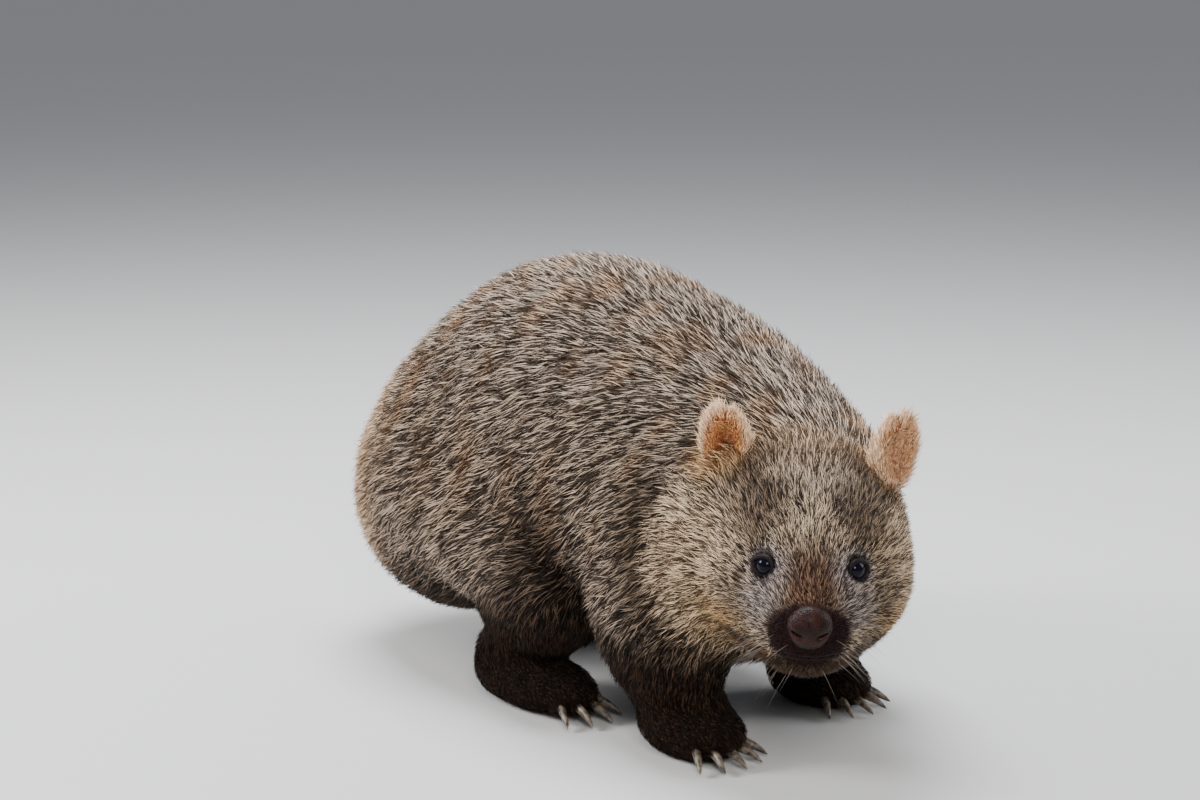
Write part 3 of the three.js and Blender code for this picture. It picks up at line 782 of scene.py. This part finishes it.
# Ear hair: short orange-tan hair on the backs, long cream hair on the rims, and thin red-brown hair
# inside, darker deep in the cup as painted shade. The hair has its roots in the ears' own skin.
for side, ear_part in ear_parts.items():
    ear_count = 7000
    ear_roots, ear_normals = scatter(ear_part["points"], ear_part["faces"], ear_part["normals"],
                                     np.ones(len(ear_part["points"])), ear_count)
    own_roots = (ear_roots - head_place) @ head_turn - np.array(ear_place[side][:3])
    spin = math.radians(ear_place[side][3])
    flat = own_roots[:, 0] * math.sin(-spin) + own_roots[:, 1] * math.cos(-spin)
    front = (ear_normals @ ear_part["turn"])[:, 0] > 0.25
    rim = rise(np.hypot(flat / ear_half_width, (own_roots[:, 2] - 0.001) / ear_half_height), 0.72, 0.95)
    inner = front * (1 - rim)
    up_way = ear_part["turn"][:, 2] * 0.9 + np.outer(np.sign(flat), ear_part["turn"][:, 1]) * 0.35
    ear_lie = up_way - (up_way * ear_normals).sum(-1)[:, None] * ear_normals
    ear_lie = unit(ear_lie + random.normal(0, 0.16, ear_lie.shape))
    # Redder inner ear, with painted shade deeper in the cup towards its base.
    inner_red_and_shade = inner * (1 - rise(np.abs(flat) / ear_half_width, 0.25, 0.8))
    inner_red_and_shade = (inner_red_and_shade * (1 - rise(own_roots[:, 2], 0.0, 0.018)))[:, None] * ear_redness[side]
    ear_dark = linear(160, 88, 46) * (1 - inner_red_and_shade) + linear(92, 36, 24) * inner_red_and_shade
    ear_pale = linear(255, 194, 126) * (1 - inner_red_and_shade) + linear(202, 112, 74) * inner_red_and_shade
    creamy = np.maximum(rim[:, None] * 0.8, (1 - ear_redness[side]) * 0.7)
    ear_dark = ear_dark * (1 - 0.5 * creamy) + linear(216, 164, 116) * 0.5 * creamy
    ear_pale = ear_pale * (1 - creamy) + linear(246, 228, 200) * creamy
    ear_length = (0.0065 - 0.002 * inner + 0.004 * rim) * random.uniform(0.7, 1.3, ear_count)
    ear_width = np.full(ear_count, 0.0007) * random.uniform(0.7, 1.3, ear_count)
    ear_lift = np.radians(random.uniform(10, 26, ear_count))
    ear_tone = np.clip(random.normal(0.55, 0.25, ear_count), 0, 1)
    points, faces, colours = tufts(ear_roots, ear_normals, ear_lie, ear_length, ear_width, ear_lift,
                                   ear_dark, ear_pale, ear_tone)
    ear_coat = mesh_piece(f"ear_coat_{side}", points + origin, faces)
    paint(ear_coat, "hair_colour", colours)
    half_map = np.where(front, 0.25, 0.75)
    bake_map(ear_coat, np.stack([half_map + flat / 0.09, 0.5 + own_roots[:, 2] / 0.07], axis=1))
    ear_coat.data.materials.append(fur_finish)
    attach(ear_coat, "root")

# Eyes: small dark balls with a clear wet surface, each where its solid stands in the face. A ring of
# bare dark lid lies round each ball, drawn out at the eye's outer corner.
def mottled(name, scale, low_colour, high_colour, stops=(0.0, 1.0), bump_height=0.0):
    """Finish whose colour goes between two by noise, with a bump from the same noise where it has a
    height. Its shader's own sockets hold what is alike all over."""
    finish = bpy.data.materials.new(name)
    finish.use_nodes = True
    tree = finish.node_tree
    shader = tree.nodes["Principled BSDF"]
    place = tree.nodes.new("ShaderNodeTexCoord")
    noise = tree.nodes.new("ShaderNodeTexNoise")
    noise.inputs["Scale"].default_value = scale
    ramp = tree.nodes.new("ShaderNodeValToRGB")
    for element, stop, colour in zip(ramp.color_ramp.elements, stops, (low_colour, high_colour)):
        element.position = stop
        element.color = (*colour, 1)
    tree.links.new(place.outputs["Object"], noise.inputs["Vector"])
    tree.links.new(noise.outputs["Fac"], ramp.inputs["Fac"])
    tree.links.new(ramp.outputs["Color"], shader.inputs["Base Color"])
    if bump_height:
        bump = tree.nodes.new("ShaderNodeBump")
        bump.inputs["Distance"].default_value = bump_height
        tree.links.new(noise.outputs["Fac"], bump.inputs["Height"])
        tree.links.new(bump.outputs["Normal"], shader.inputs["Normal"])
    return finish, shader


eye_finish, eye_shader = mottled("wet_eye", 500.0, (0.0012, 0.0012, 0.004), (0.004, 0.004, 0.010))
eye_shader.inputs["Roughness"].default_value = 0.04
eye_shader.inputs["Specular IOR Level"].default_value = 0.11

lid_finish, lid_shader = mottled("bare_lid", 900.0, (0.003, 0.002, 0.002), (0.012, 0.007, 0.007),
                                 bump_height=0.0003)
lid_shader.inputs["Roughness"].default_value = 0.5
lid_shader.inputs["Specular IOR Level"].default_value = 0.12


def closed_tube(rings):
    """Points and three-sided faces of a tube from its rings in a row: each ring joined to the
    next, each end closed by a fan round its middle, and all turned outwards, which is the way
    that gives the sum of the corners' triple products a positive sign."""
    rows, columns = rings.shape[:2]
    points = np.concatenate([rings.reshape(-1, 3), rings[0].mean(0)[None], rings[-1].mean(0)[None]])
    row, column = np.meshgrid(np.arange(rows - 1), np.arange(columns), indexing="ij")
    first = (row * columns + column).ravel()
    second = (row * columns + (column + 1) % columns).ravel()
    sides = [np.stack([first, second, second + columns], axis=1)]
    sides.append(np.stack([first, second + columns, first + columns], axis=1))
    around = np.arange(columns)
    following = (around + 1) % columns
    last_row = (rows - 1) * columns
    start = np.stack([np.full(columns, rows * columns), following, around], axis=1)
    end = np.stack([np.full(columns, rows * columns + 1), last_row + around, last_row + following], axis=1)
    faces = np.concatenate(sides + [start, end])
    corners = points[faces] - points.mean(0)
    volume = (corners[:, 0] * np.cross(corners[:, 1], corners[:, 2])).sum()
    return points, faces if volume > 0 else faces[:, ::-1]


def closed_ring_faces(rows, columns):
    """Four-sided faces of a ring tube: rows of points round the ring, columns round the tube."""
    row, column = np.meshgrid(np.arange(rows), np.arange(columns), indexing="ij")
    next_row, next_column = (row + 1) % rows, (column + 1) % columns
    corners = [next_row * columns + column, next_row * columns + next_column,
               row * columns + next_column, row * columns + column]
    return np.stack([corner.ravel() for corner in corners], axis=1)


def all_round(count):
    """Equal angles all the way round, from 0."""
    return np.arange(count) * 2 * math.pi / count


eye_radius = 0.0075
ball_rows, ball_columns, pole_gap = 24, 32, 0.02
lid_rows, lid_columns = 40, 12
for side, plan in side_plan.items():
    eye_at = eye_place[side]
    facing = head_turn @ eye_facing[side]
    eye_up = head_turn[:, 2] - facing * (head_turn[:, 2] @ facing)
    eye_up /= np.linalg.norm(eye_up)
    eye_turn = np.stack([np.cross(eye_up, facing), eye_up, facing])
    polar, about = np.meshgrid(np.linspace(pole_gap, math.pi - pole_gap, ball_rows),
                               all_round(ball_columns), indexing="ij")
    ball = np.stack([np.sin(polar) * np.cos(about), np.sin(polar) * np.sin(about), np.cos(polar)], -1)
    ball = eye_at + ball @ eye_turn * eye_radius
    eye = mesh_piece(f"eyeball_{side}", *closed_tube(ball))
    eye.data.materials.append(eye_finish)
    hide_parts(f"eye_{side}")
    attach(eye, "root")

    around, section = np.meshgrid(all_round(lid_rows), all_round(lid_columns), indexing="ij")
    corner_at = math.pi if plan["sign"] < 0 else 0
    from_corner = np.angle(np.exp(1j * (around - corner_at)))
    outer_corner = np.exp(-((from_corner / 0.45) ** 2))
    ring_radius = 0.0076 + 0.0028 * outer_corner - 0.0008 * np.abs(np.sin(around)) ** 3
    thick = 0.0015 + 0.0004 * np.sin(around)
    ring_x = (ring_radius + thick * np.cos(section)) * np.cos(around)
    ring_y = (ring_radius + thick * np.cos(section)) * np.sin(around) * 0.98
    ring_z = 0.0036 - 0.0012 * outer_corner + thick * np.sin(section)
    lid_points = np.stack([ring_x, ring_y, ring_z], -1).reshape(-1, 3) @ eye_turn
    lid = mesh_piece(f"eyelid_{side}", eye_at + lid_points, closed_ring_faces(lid_rows, lid_columns))
    lid.data.materials.append(lid_finish)
    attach(lid, "root")

# Nose pad: a bare domed pad of grained leathery skin, with two nostrils and a short groove that runs
# down from between them. It is a field of its own, as the ears are, set in the end of the muzzle.
nose_finish, nose_shader = mottled("nose_leather", 90.0, (0.005, 0.0010, 0.0005), (0.028, 0.0068, 0.0034),
                                   stops=(0.35, 0.70))
nose_tree = nose_finish.node_tree
nose_cells = nose_tree.nodes.new("ShaderNodeTexVoronoi")
nose_cells.inputs["Scale"].default_value = 800.0
nose_place = nose_tree.nodes.new("ShaderNodeTexCoord")
nose_bump = nose_tree.nodes.new("ShaderNodeBump")
nose_bump.inputs["Distance"].default_value = 0.0006
nose_bump.inputs["Strength"].default_value = 0.8
nose_tree.links.new(nose_place.outputs["Object"], nose_cells.inputs["Vector"])
nose_tree.links.new(nose_cells.outputs["Distance"], nose_bump.inputs["Height"])
nose_tree.links.new(nose_bump.outputs["Normal"], nose_shader.inputs["Normal"])
nose_shader.inputs["Roughness"].default_value = 0.34
nose_shader.inputs["Specular IOR Level"].default_value = 0.11
nose_shader.inputs["Coat Weight"].default_value = 0.06
nose_shader.inputs["Coat Roughness"].default_value = 0.25


def nose_form(points):
    """Distance to the pad: a dome and a lower pad melted together, less the nostrils and a groove."""
    distance = melt(mass(points, (0.086, 0, -0.017), (0.0135, 0.0165, 0.0145)),
                    mass(points, (0.083, 0, -0.027), (0.0125, 0.0135, 0.0090)), 0.006)
    for sign in (-1, 1):
        opening, inner_end = (0.097, sign * 0.0065, -0.023), (0.091, sign * 0.0125, -0.018)
        distance = -melt(-distance, limb(points, opening, inner_end, 0.0021, 0.0013), 0.002)
    groove = limb(points, (0.1005, 0, -0.024), (0.094, 0, -0.038), 0.0010, 0.0012)
    return -melt(-distance, groove, 0.0015)


nose_points, nose_faces = net_of(nose_form, (0.066, -0.021, -0.040), (0.104, 0.021, 0.001), 0.0011)
nose_points = settle(nose_form, nose_points, 1)
nose = mesh_piece("nose_leather_pad", nose_points @ head_turn.T + head_place + origin, nose_faces)
nose.data.materials.append(nose_finish)
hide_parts("nose_pad")
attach(nose, "root")

# Mouth: the line under the nose between an upper and a lower lip of bare dark skin, which run
# back round the muzzle. Each lip's middle line is drawn in to just under the surface of the head.
mouth_columns = 41
mouth_height, mouth_droop = -0.041, 0.004
lip_offset, lip_radius, lip_depth = 0.0018, 0.0020, 0.0022
mouth_share = np.linspace(-1, 1, mouth_columns)
mouth_angle = mouth_share * math.radians(52)
for lip_name, lip_way in (("upper", 1), ("lower", -1)):
    outwards = np.stack([np.cos(mouth_angle), np.sin(mouth_angle), np.zeros(mouth_columns)], axis=1)
    middle = np.array([0.038, 0, 0]) + outwards * 0.09
    middle[:, 2] = mouth_height - mouth_droop * mouth_share**2 + lip_way * lip_offset
    for _ in range(40):
        middle = middle - outwards * (head_form(middle) + lip_depth)[:, None] * 0.8
    taper = lip_radius * np.sqrt(np.clip(1 - np.abs(mouth_share) ** 1.5, 0.02, 1))
    section = all_round(8)
    tube = (middle[:, None, :] + outwards[:, None, :] * (taper[:, None] * np.cos(section))[..., None]
            + np.array([0, 0, 1.0]) * (taper[:, None] * 0.85 * np.sin(section))[..., None])
    lip = mesh_piece(f"lip_{lip_name}", *closed_tube(tube @ head_turn.T + head_place + origin))
    lip.data.materials.append(lid_finish)
    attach(lip, "root")

# Whiskers: stiff pale hairs on the sides of the muzzle and on the chin, which start just under the
# tips of the coat. Each is a thin three-sided tube that droops a little and thins to its tip.
whisker_finish, whisker_shader = mottled("whisker", 60.0, (0.16, 0.12, 0.09), (0.50, 0.43, 0.36))
whisker_shader.inputs["Roughness"].default_value = 0.4

whisker_count = 70
whisker_side = np.where(random.random(whisker_count) < 0.5, -1.0, 1.0)
whisker_root = np.stack([random.uniform(0.050, 0.084, whisker_count),
                         whisker_side * random.uniform(0.004, 0.050, whisker_count),
                         random.uniform(-0.062, -0.012, whisker_count)], axis=1)
for _ in range(8):
    whisker_slope = slope_of(head_form, whisker_root)
    whisker_root -= whisker_slope * (head_form(whisker_root) + 0.001)[:, None]
whisker_out = slope_of(head_form, whisker_root)
whisker_out /= np.linalg.norm(whisker_out, axis=1)[:, None]
whisker_way = whisker_out + np.stack([np.full(whisker_count, -0.35), whisker_side * 0.35,
                                      np.full(whisker_count, -0.30)], axis=1)
whisker_way += random.normal(0, 0.12, whisker_way.shape)
whisker_way /= np.linalg.norm(whisker_way, axis=1)[:, None]
whisker_length = random.uniform(0.014, 0.030, whisker_count)
whisker_steps = np.linspace(0, 1, 6)
whisker_radius = 0.00013
whisker_droop = 6.0
whisker_edges = (0, 2.094, 4.189)
whisker_cross = np.cross(whisker_way, [0.3, 0.1, 1.0])
whisker_cross /= np.linalg.norm(whisker_cross, axis=1)[:, None]
whisker_other = np.cross(whisker_way, whisker_cross)
whisker_points, whisker_faces = [], []
for n in range(whisker_count):
    along = whisker_steps[:, None] * whisker_length[n]
    spine = whisker_root[n] + whisker_way[n] * along + np.array([0, 0, -1.0]) * along**2 * whisker_droop
    thick = (whisker_radius * (1 - 0.9 * whisker_steps))[:, None]
    sides = [math.cos(a) * whisker_cross[n] + math.sin(a) * whisker_other[n] for a in whisker_edges]
    ring = np.stack([spine + thick * way for way in sides], axis=1)
    tube_points, tube_faces = closed_tube(ring)
    whisker_faces.append(tube_faces + len(tube_points) * n)
    whisker_points.append(tube_points)
whiskers = mesh_piece("whiskers", np.concatenate(whisker_points) @ head_turn.T + head_place + origin,
                      np.concatenate(whisker_faces))
whiskers.data.materials.append(whisker_finish)
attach(whiskers, "root")

# Claws: stout digging claws of grained brown horn, five on each forefoot and four on each hind foot,
# set in the ends of the toes and curved down to the floor.
claw_finish, claw_shader = mottled("claw_horn", 260.0, (0.030, 0.022, 0.017), (0.22, 0.17, 0.12),
                                   stops=(0.35, 0.70), bump_height=0.0003)
claw_shader.inputs["Roughness"].default_value = 0.42
claw_drop = 0.0095


def claw_row(name, rays, length, radius):
    """Claws of one foot. Each is a cone whose middle line drops with the square of its length and
    whose section is narrower than it is high."""
    points, faces = [], []
    share = np.linspace(0, 1, 9)
    round_it = all_round(10)
    width = radius * np.sqrt(np.clip(1 - share**1.6, 0.004, 1))
    for root, ahead in rays:
        aside = np.array([-ahead[1], ahead[0], 0.0])
        middle = root + share[:, None] * length * ahead - np.array([0, 0, claw_drop]) * share[:, None] ** 2
        ring = (middle[:, None, :] + aside * (width[:, None] * 0.8 * np.cos(round_it))[..., None]
                + np.array([0, 0, 1.0]) * (width[:, None] * np.sin(round_it))[..., None])
        tube_points, tube_faces = closed_tube(ring)
        faces.append(tube_faces + len(tube_points) * len(points))
        points.append(tube_points)
    points = np.concatenate(points)
    points[:, 2] = np.maximum(points[:, 2], hair_floor)
    row = mesh_piece(name, points + origin, np.concatenate(faces))
    row.data.materials.append(claw_finish)
    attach(row, "root")


for name, fan in claw_fans.items():
    claw_row(name, *fan)
